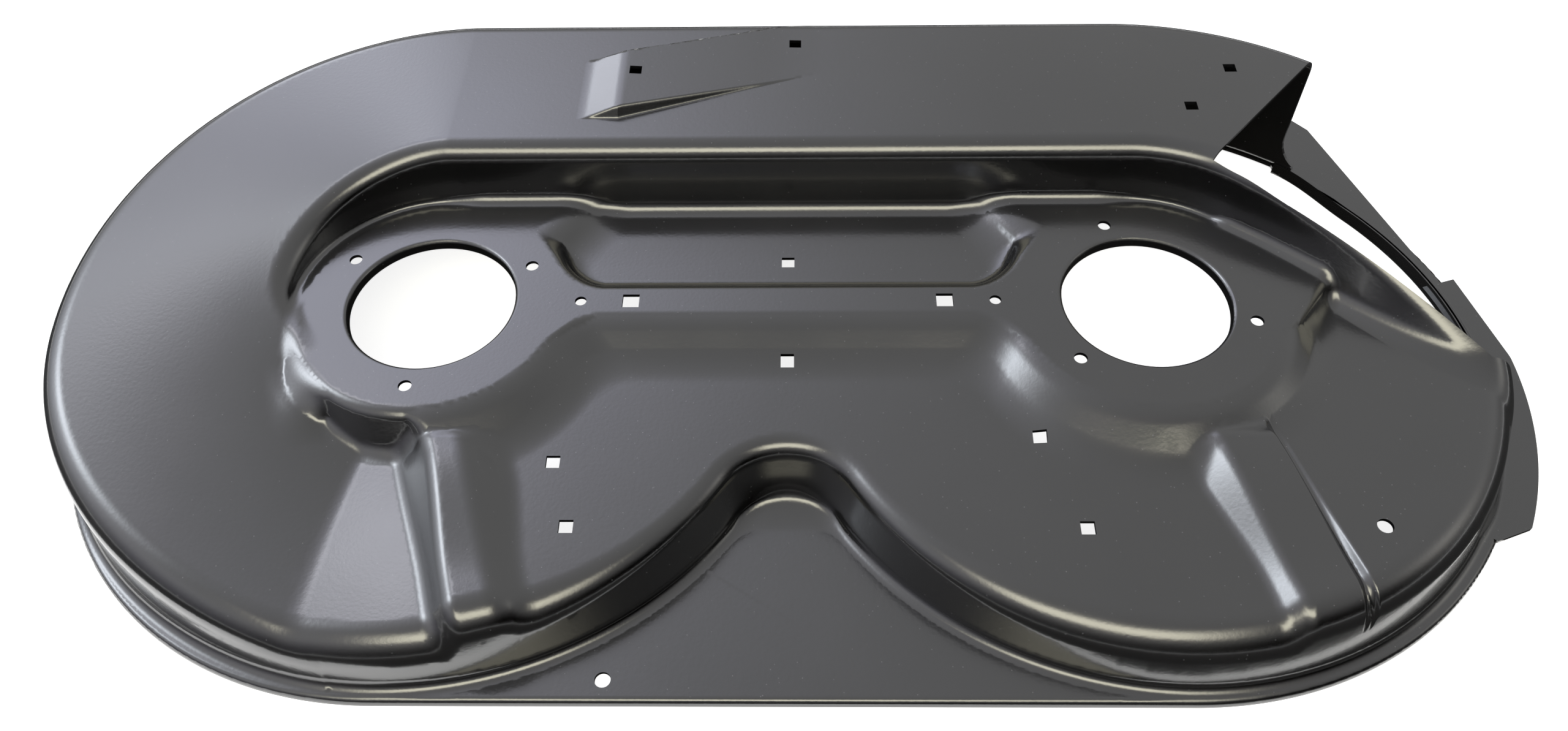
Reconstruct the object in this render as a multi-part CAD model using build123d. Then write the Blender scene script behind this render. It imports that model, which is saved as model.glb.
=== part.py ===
"""Pressed steel cutting deck of a twin-spindle, side-discharge ride-on mower.

One blank of sheet steel, deep drawn, trimmed and pierced. Millimetres, +Z up. X runs along
the spindle line towards the discharge, Y towards the front of the machine. Plan sizes are
taken from the point midway between the spindle axes; the finished deck is then moved so that
the origin is the middle of its base, in the plane that the rim rests on.

The deck is the solid under its upper skin less the same solid one sheet further in, so each
form below takes an inset: 0 for the upper skin and SHEET for the lower one.
"""

import os
from math import cos, hypot, radians, sin, tan

from build123d import *

# Sheet and spindle layout
SHEET = 2.5
SPINDLE_SPACING = 490.0
SPINDLE_HOLE_R = 57.2
SPINDLE_COLLAR = 5.0
SPINDLE_PCD = 146.0
SPINDLE_BOLT_R = 4.5
SPINDLE_BOLTS = 3
LEFT_BOLT_TURN = 27.0
RIGHT_BOLT_TURN = -15.5

# Levels of the pressed faces above the rim
FLANGE_LEVEL = 6.0
STRAP_LEVEL = 11.0
LOW_LEVEL = 47.0
PANEL_LEVEL = 50.0
RIB_LEVEL = 61.0
LEDGE_LEVEL = 63.0
PAD_LEVEL = 76.0
ROOF_LEVEL = 120.0

# Rim flange, a stadium about two centres a little outside and ahead of the spindles
RIM_R = 263.5
RIM_LEFT_OUT = 6.5
RIM_RIGHT_OUT = 1.0
RIM_AHEAD = 4.5
RIM_BEND_R = 4.0

# Flat flange beside the right wall, and the tab outside the discharge strap
SIDE_FLANGE_R = 278.0
SIDE_FLANGE_CORNERS = [(461.0, -148.0), (489.0, -137.5), (545.0, -60.0), (524.0, 0.0), (507.0, 81.0)]
SIDE_FLANGE_INNER_R = 247.0
TAB_CORNERS = [(430.0, 265.0), (440.0, 253.0), (487.0, 102.0), (493.0, 83.0)]

# Rear lobes and the cusp between them
LOBE_R = 251.0
LOBE_DRAFT = 9.0
LOBE_SHOULDER_R = 19.0
CUSP_R = 40.0
PANEL_TILT = 2.5

# Spindle pads and the bridge between them
PAD_R = 95.0
PAD_DRAFT = 25.0
PAD_EDGE_R = 5.0
PAD_DEPTH = 32.0
SKIRT_DRAFT = 58.0
SKIRT_DEPTH = 30.0
BRIDGE_WIDTH = 32.0
BRIDGE_BLEND_R = 30.0
PAD_CORNER_X = 140.0
PAD_CORNER_TURN = 35.0
PAD_KNUCKLE = (366.0, 12.0)
PAD_KNUCKLE_TURN = -18.0

# Discharge tunnel: outer wall, inner wall and the ramp that winds up round the left spindle
TUNNEL_R = 261.5
TUNNEL_DRAFT = 1.0
TUNNEL_SHOULDER_R = 19.0
TUNNEL_INNER_R = 98.5
TUNNEL_INNER_DRAFT = 11.0
TUNNEL_CREST_R = 12.0
RAMP_START = 250.0
RAMP_END = 90.0
RAMP_SECTIONS = 11
RAMP_EASE = 1.3
RAMP_TUCK = 25.0
RAMP_GROWTH = 2.5
RAMP_TUCK_FROM = 0.5
RAMP_TUCK_OVER = 0.3

# Discharge mouth and the ridge that runs from its inner corner down to the right wall
MOUTH_BACK = 19.5
MOUTH_ANGLE = 48.2
MOUTH_CORNER_R = 25.0
MOUTH_END_Y = -45.0
STRAP_R = 251.5
RIDGE_ANGLE = -40.0
RIDGE_LENGTH = 245.0
RIDGE_DROP = 66.0
RIDGE_EASE = 1.6
RIDGE_DRAFTS = (10.0, 62.0)
RIDGE_TURN = 2.0
RIDGE_EDGE_R = 11.0
RIDGE_OUT = 1.5
RIDGE_LIP = 0.5
RIDGE_DEPTH = 60.0
RIDGE_SECTIONS = 8

# Radial ribs of the rear lobes
RIB_WIDTH = 27.5
RIB_REACH = 130.0
LEFT_RIB_AT = (-207.0, -150.0)
LEFT_RIB_ANGLE = -72.0
LEFT_RIB_DRAFTS = (36.0, 57.0)
RIGHT_RIB_AT = (283.5, -150.0)
RIGHT_RIB_ANGLE = -74.5
RIGHT_RIB_DRAFT = 67.0
GROOVE_OFFSET = 39.5
GROOVE_WIDTH = 9.0
GROOVE_DEPTH = 5.0

# Raised seat on the tunnel roof
SEAT_RISE = 8.0
SEAT_LEFT_X = -150.0
SEAT_TOP_X = -124.0
SEAT_RIGHT_X = 4.0
SEAT_REAR_Y = 138.0
SEAT_FRONT_Y = 205.0
SEAT_SKEW_Y = 44.0
SEAT_DRAFT = 40.0

# Pierced holes
SMALL_SQUARE = 9.0
BRIDGE_SQUARE = 11.5
BRIDGE_SQUARE_X = 107.5
BRIDGE_ROUND_R = 4.0
BRIDGE_ROUND_X = 142.0
LEDGE_SQUARE_Y = 46.0
PANEL_SQUARES = [(0.0, -41.5), (-149.5, -119.0), (-136.0, -165.5), (163.0, -101.0), (185.0, -166.5)]
ROOF_SQUARES = [(-114.0, 184.5), (5.0, 223.5), (330.5, 191.5), (293.5, 148.5)]
ROUND_HOLES = [(362.0, -169.5), (-111.5, -244.5)]
ROUND_HOLE_R = 5.0

HALF = SPINDLE_SPACING / 2
LEFT = Pos(-HALF, 0)
RIGHT = Pos(HALF, 0)
FAR = 2 * SPINDLE_SPACING


def along(angle):
    """Unit step in the plan at an angle from +X."""
    return Vector(cos(radians(angle)), sin(radians(angle)))


def slant(inset, draft):
    """Plan distance by which a drafted wall steps in when its skin steps in by the inset."""
    return inset / cos(radians(draft))


def smooth(share):
    """Eased share between 0 and 1."""
    share = min(max(share, 0.0), 1.0)
    return share * share * (3 - 2 * share)


def polygon(*points):
    return make_face(Polyline(*points, close=True).edges())


def stadium(radius, left_out=0.0, right_out=0.0, ahead=0.0):
    """Outline round both spindles: two circles and their common tangents."""
    left, right = -HALF - left_out, HALF + right_out
    ends = Pos(left, ahead) * Circle(radius) + Pos(right, ahead) * Circle(radius)
    return ends + Pos((left + right) / 2, ahead) * Rectangle(right - left, 2 * radius)


def top_rounded(body, radius):
    """The body with the outer edge of its top face rounded."""
    top = body.faces().sort_by(Axis.Z)[-1]
    return fillet(top.outer_wire().edges(), radius)


def rim(inset):
    body = extrude(stadium(RIM_R - inset, RIM_LEFT_OUT, RIM_RIGHT_OUT, RIM_AHEAD), FLANGE_LEVEL - inset)
    return top_rounded(body, RIM_BEND_R - inset)


def lobe_walls(inset):
    """Both lobes with the rounded cusp behind, their drafted walls carried up past the roof."""
    radius = LOBE_R - slant(inset, LOBE_DRAFT)
    outline = LEFT * Circle(radius) + RIGHT * Circle(radius)
    outline += Pos(0, radius / 2) * Rectangle(SPINDLE_SPACING, radius)
    outline = fillet(outline.vertices().sort_by(Axis.Y)[0], CUSP_R + slant(inset, LOBE_DRAFT))
    return extrude(outline, ROOF_LEVEL + SHEET, taper=LOBE_DRAFT)


def lobes(level, inset, tilt=0.0):
    """Lobes pressed up to a level that may rise forwards, with a rounded shoulder."""
    lean = radians(tilt)
    cut = Plane((0, -LOBE_R, level - inset), x_dir=(1, 0, 0), z_dir=(0, -sin(lean), cos(lean)))
    return top_rounded(split(lobe_walls(inset), cut, keep=Keep.BOTTOM), LOBE_SHOULDER_R - inset)


def rear_zone(height):
    """Everything behind the tunnel, from the start of the ramp round to the right wall."""
    spindle = Vector(-HALF, 0)
    ramp_line = spindle + FAR * along(RAMP_START)
    zone = polygon(spindle, ramp_line, (FAR, -FAR), (FAR, PAD_R), (-HALF, PAD_R))
    return extrude(zone + LEFT * Circle(PAD_R - RAMP_TUCK), height)


def pad_corner(shift):
    """Plan of the pad where it runs along the tunnel wall, for the right spindle."""
    turn = along(180 - PAD_CORNER_TURN)
    ahead = TUNNEL_INNER_R + TUNNEL_CREST_R
    edge = Vector(HALF, 0) + (PAD_R - shift) * turn
    corner = PAD_CORNER_X + shift
    return [(HALF, 0), (edge.X, edge.Y), (corner, TUNNEL_INNER_R), (corner, ahead), (HALF, ahead)]


def pad_knuckle(shift):
    """Plan of the pad where it runs on along the foot of the ridge to a knuckle."""
    edge = Vector(HALF, 0) + (PAD_R - shift) * along(PAD_KNUCKLE_TURN)
    knuckle = Vector(*PAD_KNUCKLE) - shift * along(RIDGE_ANGLE)
    return [(HALF, 0), edge, knuckle, knuckle + PAD_DEPTH * along(90 + RIDGE_ANGLE), ridge_point(0, 0)]


def pads(inset):
    """Spindle pads and bridge with sloping skirts."""
    shift = inset * (1 / cos(radians(PAD_DRAFT)) - tan(radians(PAD_DRAFT)))
    top = LEFT * Circle(PAD_R - shift) + RIGHT * Circle(PAD_R - shift)
    top += Rectangle(SPINDLE_SPACING, BRIDGE_WIDTH - 2 * shift)
    for side in (-1, 1):
        top += polygon(*[(side * x, y) for x, y in pad_corner(shift)])
    top += polygon(*pad_knuckle(shift))
    near_bridge = HALF - BRIDGE_WIDTH
    corners = top.vertices().filter_by(lambda v: abs(v.X) < near_bridge and v.Y < PAD_R - BRIDGE_WIDTH)
    corners += top.vertices().filter_by(lambda v: v.X > HALF + BRIDGE_WIDTH and v.Y < 0)
    top = fillet(corners, BRIDGE_BLEND_R + shift)
    body = extrude(Pos(0, 0, PAD_LEVEL - inset) * top, -PAD_DEPTH, taper=-PAD_DRAFT)
    core = extrude(body.faces().sort_by(Axis.Z)[0], PAD_LEVEL - inset - PAD_DEPTH)
    return top_rounded(body, PAD_EDGE_R - inset) + core


def skirts(inset):
    """Long slopes behind the pads and the bridge, down to the rear panels."""
    lean = tan(radians(SKIRT_DRAFT))
    shift = inset * (1 / cos(radians(SKIRT_DRAFT)) - lean)
    top = PAD_LEVEL - inset
    spread = SKIRT_DEPTH * lean
    cone = Pos(0, 0, top - SKIRT_DEPTH / 2) * Cone(PAD_R - shift + spread, PAD_R - shift, SKIRT_DEPTH)
    edge = BRIDGE_WIDTH / 2 - shift
    section = polygon((0, top), (-edge, top), (-edge - spread, top - SKIRT_DEPTH), (0, top - SKIRT_DEPTH))
    slope = extrude(Plane.YZ * section, HALF, both=True)
    behind = Pos(0, -FAR / 2, PAD_LEVEL / 2) * Box(2 * FAR, FAR, PAD_LEVEL)
    return (LEFT * cone + RIGHT * cone + slope) & behind


def ledge(inset):
    """Recess between the pads, ahead of the bridge."""
    depth = TUNNEL_INNER_R + TUNNEL_CREST_R
    plan = Pos(0, depth / 2) * Rectangle(SPINDLE_SPACING, depth)
    return extrude(plan, LEDGE_LEVEL - inset)


def ramp_section(turn, inset):
    """Radial section of the tunnel at an angle round the left spindle."""
    share = (turn - RAMP_END) / (RAMP_START - RAMP_END)
    level = ROOF_LEVEL - (ROOF_LEVEL - LOW_LEVEL) * share**RAMP_EASE - inset
    grown = smooth((1 - share) * RAMP_GROWTH)
    foot = LOBE_R + (TUNNEL_R - LOBE_R) * grown
    draft = LOBE_DRAFT + (TUNNEL_DRAFT - LOBE_DRAFT) * grown
    shoulder = LOBE_SHOULDER_R + (TUNNEL_SHOULDER_R - LOBE_SHOULDER_R) * grown
    inner = TUNNEL_INNER_R - RAMP_TUCK * smooth((share - RAMP_TUCK_FROM) / RAMP_TUCK_OVER)
    foot -= slant(inset, draft)
    inner += slant(inset, TUNNEL_INNER_DRAFT)
    lean = tan(radians(TUNNEL_INNER_DRAFT))
    points = [
        (inner - PAD_LEVEL * lean, 0),
        (inner + (level - PAD_LEVEL) * lean, level),
        (foot - level * tan(radians(draft)), level),
        (foot, 0),
    ]
    section = polygon(*points)
    tops = section.vertices().sort_by(Axis.Y)[-2:].sort_by(Axis.X)
    section = fillet(tops[0], TUNNEL_CREST_R - inset)
    tops = section.vertices().sort_by(Axis.X)[-3:].sort_by(Axis.Y)
    section = fillet(tops[-1], shoulder - inset)
    step = along(turn)
    plane = Plane(origin=(-HALF, 0, 0), x_dir=(step.X, step.Y, 0), z_dir=(step.Y, -step.X, 0))
    return plane * section


def ramp(inset):
    """Tunnel round the left spindle, its roof winding up from the low sector."""
    count = RAMP_SECTIONS - 1
    turns = [RAMP_START + (RAMP_END - RAMP_START) * k / count for k in range(RAMP_SECTIONS)]
    return loft([ramp_section(turn, inset) for turn in turns])


def crest_r():
    """Radius at which the inner wall of the tunnel reaches the roof."""
    return TUNNEL_INNER_R + (ROOF_LEVEL - PAD_LEVEL) * tan(radians(TUNNEL_INNER_DRAFT))


def ridge_point(ahead, out):
    """Point in the plan, along the ridge from where it leaves the round crest and out from its line."""
    start = Vector(HALF, 0) + (crest_r() + out) * along(90 + RIDGE_ANGLE)
    return start + ahead * along(RIDGE_ANGLE)


def mouth_corner():
    return ridge_point(-MOUTH_BACK, RIDGE_LIP)


def tunnel(inset):
    """Straight run of the tunnel and its turn round the right spindle, up to the mouth."""
    outer = stadium(TUNNEL_R - slant(inset, TUNNEL_DRAFT))
    outer = top_rounded(extrude(outer, ROOF_LEVEL - inset, taper=TUNNEL_DRAFT), TUNNEL_SHOULDER_R - inset)
    lean = tan(radians(TUNNEL_INNER_DRAFT))
    foot = TUNNEL_INNER_R + slant(inset, TUNNEL_INNER_DRAFT) - PAD_LEVEL * lean
    plan = Pos(0, foot + FAR / 2) * Rectangle(2 * FAR, FAR)
    plan += polygon((HALF, 0), (FAR, 0), (FAR, FAR), (HALF, FAR))
    plan -= RIGHT * Circle(foot)
    inner = extrude(plan, ROOF_LEVEL - inset, taper=TUNNEL_INNER_DRAFT)
    top = inner.faces().sort_by(Axis.Z)[-1]
    crest = top.edges().filter_by(lambda e: e.center().Y < TUNNEL_R and e.center().X < SPINDLE_SPACING)
    crest = crest.filter_by(lambda e: e.center().Y > foot / 2)
    inner = fillet(crest, TUNNEL_CREST_R - inset)
    corner = mouth_corner()
    far = corner + FAR * along(MOUTH_ANGLE)
    zone = polygon((-HALF, 0), (HALF, 0), ridge_point(0, RIDGE_LIP), corner, far, (-HALF, FAR))
    return outer & inner & extrude(zone, ROOF_LEVEL)


def ridge_section(ahead, inset):
    """Section of the ridge: its rear slope and the crest that the mouth is cut along."""
    share = ahead / RIDGE_LENGTH
    level = ROOF_LEVEL - RIDGE_DROP * share**RIDGE_EASE - inset
    first, last = RIDGE_DRAFTS
    draft = first + (last - first) * share**RIDGE_TURN
    lean = tan(radians(draft))
    crest = RIDGE_OUT + slant(inset, draft) - inset * lean
    section = polygon((crest - level * lean, 0), (crest, level), (RIDGE_DEPTH, level), (RIDGE_DEPTH, 0))
    edge = section.vertices().sort_by(Axis.Y)[-2:].sort_by(Axis.X)[0]
    section = fillet(edge, RIDGE_EDGE_R - inset)
    out = along(90 + RIDGE_ANGLE)
    step = along(RIDGE_ANGLE)
    start = ridge_point(ahead, 0)
    plane = Plane((start.X, start.Y, 0), x_dir=(out.X, out.Y, 0), z_dir=(step.X, step.Y, 0))
    return plane * section


def ridge(inset):
    """Ridge that falls from the inner corner of the mouth to the right wall."""
    count = RIDGE_SECTIONS - 1
    body = loft([ridge_section(RIDGE_LENGTH * k / count, inset) for k in range(RIDGE_SECTIONS)])
    return body & lobe_walls(inset)


def rib_prism(at, angle, section):
    """Section across a rib, drawn out along it both ways."""
    step = along(angle)
    plane = Plane((at[0], at[1], 0), x_dir=(-step.Y, step.X, 0), z_dir=(step.X, step.Y, 0))
    return extrude(plane * section, RIB_REACH, both=True)


def groove(inset):
    """V pressed into the raised panel beside the right rib."""
    slope = 2 * GROOVE_DEPTH / GROOVE_WIDTH
    low = RIB_LEVEL - GROOVE_DEPTH - inset * hypot(1, slope)
    rise = GROOVE_DEPTH + SHEET
    half = rise / slope
    left, right = GROOVE_OFFSET - half, GROOVE_OFFSET + half
    section = polygon((left, low + rise), (GROOVE_OFFSET, low), (right, low + rise))
    return rib_prism(RIGHT_RIB_AT, RIGHT_RIB_ANGLE, section)


def rear(inset):
    """Panels and ribs of the rear lobes, with the groove behind the right pad."""
    body = lobes(LOW_LEVEL, inset) & rear_zone(ROOF_LEVEL)
    step = along(LEFT_RIB_ANGLE)
    foot = Vector(*LEFT_RIB_AT) + FAR * step
    head = Vector(*LEFT_RIB_AT) - LEFT_RIB_AT[1] / step.Y * step
    behind = polygon(head, foot, (FAR, foot.Y), (FAR, 0))
    body += lobes(PANEL_LEVEL, inset, PANEL_TILT) & extrude(behind, ROOF_LEVEL)
    half = RIB_WIDTH / 2
    lean_left, lean_right = [tan(radians(draft)) for draft in LEFT_RIB_DRAFTS]
    in_left, in_right = [slant(inset, draft) for draft in LEFT_RIB_DRAFTS]
    feet = (-half + in_left - RIB_LEVEL * lean_left, half - in_right + RIB_LEVEL * lean_right)
    top = RIB_LEVEL + SHEET
    tops = (-half + in_left + SHEET * lean_left, half - in_right - SHEET * lean_right)
    section = polygon((feet[0], 0), (tops[0], top), (tops[1], top), (feet[1], 0))
    raised = lobes(RIB_LEVEL, inset)
    body += raised & rib_prism(LEFT_RIB_AT, LEFT_RIB_ANGLE, section)
    lean = tan(radians(RIGHT_RIB_DRAFT))
    edge = slant(inset, RIGHT_RIB_DRAFT)
    section = polygon((edge - RIB_LEVEL * lean, 0), (edge + SHEET * lean, top), (FAR, top), (FAR, 0))
    right_side = extrude(polygon((HALF, 0), (HALF, -FAR), (FAR, -FAR), (FAR, PAD_R)), ROOF_LEVEL)
    body += raised & right_side & rib_prism(RIGHT_RIB_AT, RIGHT_RIB_ANGLE, section)
    return body - groove(inset)


def seat(inset):
    """Wedge raised on the tunnel roof, fading out towards the mouth."""
    shift = slant(inset, SEAT_DRAFT) - inset * tan(radians(SEAT_DRAFT))
    rear_end = SEAT_REAR_Y + SEAT_SKEW_Y
    front_end = SEAT_FRONT_Y + SEAT_SKEW_Y
    plan = polygon(
        (SEAT_LEFT_X, SEAT_REAR_Y),
        (SEAT_TOP_X, SEAT_REAR_Y),
        (SEAT_RIGHT_X, rear_end),
        (SEAT_RIGHT_X, front_end),
        (SEAT_LEFT_X, SEAT_FRONT_Y),
    )
    base = Pos(0, 0, ROOF_LEVEL - inset)
    body = extrude(base * offset(plan, -shift, kind=Kind.INTERSECTION), SEAT_RISE, taper=SEAT_DRAFT)
    side = Plane((0, 0, ROOF_LEVEL - inset), x_dir=(1, 0, 0), z_dir=(0, -1, 0))
    wedge = polygon((SEAT_LEFT_X, 0), (SEAT_TOP_X, SEAT_RISE), (SEAT_RIGHT_X, 0))
    return body & extrude(side * wedge, FAR, both=True)


def form(inset):
    """Everything under one skin of the deck."""
    body = rim(inset) + rear(inset) + pads(inset) + skirts(inset) + ledge(inset)
    return body + ramp(inset) + tunnel(inset) + ridge(inset) + seat(inset)


def plate(plan):
    """Flat flange of one sheet at the level of the rim."""
    return extrude(Pos(0, 0, FLANGE_LEVEL - SHEET) * plan, SHEET)


def side_flange():
    """Flange round the right wall, and the tab outside the mouth."""
    sector = polygon((HALF, 0), *SIDE_FLANGE_CORNERS) & RIGHT * Circle(SIDE_FLANGE_R)
    tab = polygon((HALF, 0), (HALF, RIM_AHEAD + RIM_R), *TAB_CORNERS)
    tab -= RIGHT * Circle(TUNNEL_R - SHEET) - mouth_zone()
    tab -= RIGHT * Circle(STRAP_R - SHEET)
    return plate(sector - RIGHT * Circle(SIDE_FLANGE_INNER_R)) + plate(tab)


def mouth_zone():
    """Plan of everything cut away beyond the mouth and the ridge."""
    corner = mouth_corner()
    step = along(RIDGE_ANGLE)
    end = corner + (MOUTH_END_Y - corner.Y) / step.Y * step
    return polygon(corner, end, (FAR, MOUTH_END_Y), (FAR, FAR), corner + FAR * along(MOUTH_ANGLE))


def strap():
    """Low remnant of the outer wall that runs across the mouth."""
    ring = RIGHT * Circle(STRAP_R) - RIGHT * Circle(STRAP_R - SHEET)
    return extrude(ring & mouth_zone(), STRAP_LEVEL)


def mouth():
    """Cutter for the discharge mouth: above the strap, and all that lies inside it."""
    above = extrude(Pos(0, 0, STRAP_LEVEL) * mouth_zone(), ROOF_LEVEL)
    low = above.faces().sort_by(Axis.Z)[0]
    across = along(MOUTH_ANGLE)
    sill = low.edges().filter_by(Axis((0, 0, 0), (across.X, across.Y, 0)))
    above = fillet(sill, MOUTH_CORNER_R)
    inside = mouth_zone() & RIGHT * Circle(STRAP_R - SHEET)
    return above + extrude(inside, ROOF_LEVEL)


def collars():
    """Edges of the spindle holes, turned down."""
    rings = LEFT * Circle(SPINDLE_HOLE_R + SHEET) + RIGHT * Circle(SPINDLE_HOLE_R + SHEET)
    return extrude(Pos(0, 0, PAD_LEVEL - SHEET - SPINDLE_COLLAR) * rings, SHEET + SPINDLE_COLLAR)


def holes():
    """Pierced holes, all upright."""
    plan = LEFT * Circle(SPINDLE_HOLE_R) + RIGHT * Circle(SPINDLE_HOLE_R)
    for centre, turn in ((-HALF, LEFT_BOLT_TURN), (HALF, RIGHT_BOLT_TURN)):
        for k in range(SPINDLE_BOLTS):
            bolt = Vector(centre, 0) + SPINDLE_PCD / 2 * along(turn + 360 * k / SPINDLE_BOLTS)
            plan += Pos(bolt.X, bolt.Y) * Circle(SPINDLE_BOLT_R)
    for side in (-1, 1):
        plan += Pos(side * BRIDGE_SQUARE_X, 0) * Rectangle(BRIDGE_SQUARE, BRIDGE_SQUARE)
        plan += Pos(side * BRIDGE_ROUND_X, 0) * Circle(BRIDGE_ROUND_R)
    for x, y in [(0, LEDGE_SQUARE_Y), *PANEL_SQUARES, *ROOF_SQUARES]:
        plan += Pos(x, y) * Rectangle(SMALL_SQUARE, SMALL_SQUARE)
    for x, y in ROUND_HOLES:
        plan += Pos(x, y) * Circle(ROUND_HOLE_R)
    return extrude(plan, ROOF_LEVEL + SEAT_RISE)


deck = form(0) - form(SHEET) + side_flange() + strap() + collars() - mouth() - holes()
deck = Pos((RIM_LEFT_OUT + RIM_R - SIDE_FLANGE_R) / 2, -RIM_AHEAD) * deck
os.makedirs("parts", exist_ok=True)
export_step(deck, "parts/deck_shell.step")
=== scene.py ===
from math import cos, pi, radians, sin, tan

import bmesh
import bpy
import numpy as np
from mathutils import Matrix


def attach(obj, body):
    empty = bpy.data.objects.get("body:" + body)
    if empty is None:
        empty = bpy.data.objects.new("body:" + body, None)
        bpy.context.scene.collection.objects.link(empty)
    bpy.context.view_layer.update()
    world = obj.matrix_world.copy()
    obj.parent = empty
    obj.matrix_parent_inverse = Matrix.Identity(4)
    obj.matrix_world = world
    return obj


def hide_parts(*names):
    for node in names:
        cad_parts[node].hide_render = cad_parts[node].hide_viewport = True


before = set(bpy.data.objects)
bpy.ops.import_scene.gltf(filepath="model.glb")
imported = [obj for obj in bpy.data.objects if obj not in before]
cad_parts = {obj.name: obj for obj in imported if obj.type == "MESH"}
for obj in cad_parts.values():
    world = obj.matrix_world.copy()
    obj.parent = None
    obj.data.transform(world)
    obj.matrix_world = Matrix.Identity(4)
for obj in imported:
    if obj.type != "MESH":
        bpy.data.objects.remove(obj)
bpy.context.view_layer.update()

# Sizes of the deck in millimetres, from the point midway between the spindle axes. They are those of the
# solids, but for the pads' edge, the sides of the ribs, the seat's side and the pocket with the ramp's end
SHEET = 2.5
HALF = 245.0
SHIFT = (-4.0, -4.5)
FLANGE_LEVEL, STRAP_LEVEL, LOW_LEVEL, PANEL_LEVEL = 6.0, 11.0, 47.0, 50.0
RIB_LEVEL, LEDGE_LEVEL, PAD_LEVEL, ROOF_LEVEL = 61.0, 63.0, 76.0, 120.0
RIM_R, RIM_LEFT_OUT, RIM_RIGHT_OUT, RIM_AHEAD, RIM_BEND_R = 263.5, 6.5, 1.0, 4.5, 4.0
SIDE_FLANGE_R, SIDE_FLANGE_INNER_R = 278.0, 247.0
SIDE_FLANGE_CORNERS = [(461.0, -148.0), (489.0, -137.5), (545.0, -60.0), (524.0, 0.0), (507.0, 81.0)]
TAB_CORNERS = [(430.0, 265.0), (440.0, 253.0), (487.0, 102.0), (493.0, 83.0)]
LOBE_R, LOBE_DRAFT, LOBE_SHOULDER_R, CUSP_R, PANEL_TILT = 251.0, 9.0, 19.0, 40.0, 2.5
PAD_R, PAD_DRAFT, PAD_EDGE_R, PAD_DEPTH, SKIRT_DRAFT = 95.0, 25.0, 5.5, 32.0, 58.0
BRIDGE_WIDTH, PAD_CORNER_X, PAD_CORNER_TURN = 32.0, 140.0, 35.0
PAD_KNUCKLE, PAD_KNUCKLE_TURN = (366.0, 12.0), -18.0
TUNNEL_R, TUNNEL_DRAFT, TUNNEL_SHOULDER_R = 261.5, 1.0, 19.0
TUNNEL_INNER_R, TUNNEL_INNER_DRAFT, TUNNEL_CREST_R = 98.5, 11.0, 12.0
RAMP_START, RAMP_END, RAMP_EASE, RAMP_GROWTH = 250.0, 90.0, 1.3, 2.5
RAMP_TUCK, RAMP_TUCK_FROM, RAMP_TUCK_OVER = 25.0, 0.5, 0.3
RAMP_BURIED, RAMP_OVERLAP, RAMP_CREASE = 1.12, 12.0, 1.5
POCKET_AT, POCKET_ANGLE, POCKET_FOOT, POCKET_LIFT = (-276.5, -93.4), -100.2, 30.0, 0.4
MOUTH_BACK, MOUTH_ANGLE, MOUTH_CORNER_R, MOUTH_END_Y, STRAP_R = 19.5, 48.2, 25.0, -45.0, 251.5
RIDGE_ANGLE, RIDGE_LENGTH, RIDGE_DROP, RIDGE_EASE = -40.0, 245.0, 66.0, 1.6
RIDGE_LAST_DRAFT, RIDGE_TURN, RIDGE_OUT, RIDGE_LIP = 62.0, 2.0, 1.5, 0.5
RIB_WIDTH = 27.5
LEFT_RIB_AT, LEFT_RIB_ANGLE, LEFT_RIB_DRAFTS = (-207.0, -150.0), -72.0, (45.0, 57.0)
RIGHT_RIB_AT, RIGHT_RIB_ANGLE, RIGHT_RIB_DRAFT = (283.5, -150.0), -74.5, 54.0
GROOVE_OFFSET, GROOVE_WIDTH, GROOVE_DEPTH = 39.5, 9.0, 5.0
SEAT_RISE, SEAT_LEFT_X, SEAT_TOP_X, SEAT_RIGHT_X = 8.0, -150.0, -124.0, 4.0
SEAT_REAR_Y, SEAT_FRONT_Y, SEAT_SKEW_Y, SEAT_DRAFT = 138.0, 205.0, 44.0, 31.0
SPINDLE_HOLE_R, SPINDLE_COLLAR, SPINDLE_PCD, SPINDLE_BOLT_R = 57.2, 5.0, 146.0, 4.5
BOLT_TURNS = {-HALF: 27.0, HALF: -15.5}
SMALL_SQUARE, BRIDGE_SQUARE, BRIDGE_SQUARE_X = 9.0, 11.5, 107.5
BRIDGE_ROUND_R, BRIDGE_ROUND_X, ROUND_HOLE_R = 4.0, 142.0, 5.0
SQUARES = [
    (0.0, 46.0), (0.0, -41.5), (-149.5, -119.0), (-136.0, -165.5), (163.0, -101.0), (185.0, -166.5),
    (-114.0, 184.5), (5.0, 223.5), (330.5, 191.5), (293.5, 148.5),
]
ROUND_HOLES = [(362.0, -169.5), (-111.5, -244.5)]

# Rounds and slight slopes of the pressing that the solids lack or make simpler, and where they begin and fade
FOOT_R, PAD_FOOT_R, LEDGE_FOOT_R, WALL_FOOT_R, RIDGE_FOOT_R = 7.0, 8.0, 5.0, 9.0, 10.0
SKIRT_FOOT, SKIRT_EDGE = 7.0, 5.0
PRESSED_EDGE, RIGHT_RIB_EDGE, GROOVE_EDGE = 5.0, 3.0, 0.25
RIB_LIFT, LOW_LEAN, LOW_REACH, LEDGE_LEAN = 9.0, 0.06, 110.0, 0.05
RIB_LIFT_FROM, RIB_LIFT_OVER, RIB_LIFT_STOP, RIB_LIFT_FADE = -205.0, 90.0, -85.0, 25.0
GROOVE_ROUND, GROOVE_STEP = 0.2, 10.0
CORNER_EASE, CORNER_BACK, CORNER_SOFT, CORNER_BLEND = 0.4, 4.0, 12.0, 8.0
KNUCKLE_SOFT, KNUCKLE_FOOT_R, BRIDGE_CORNER_R = 16.0, 6.0, 25.0
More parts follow.
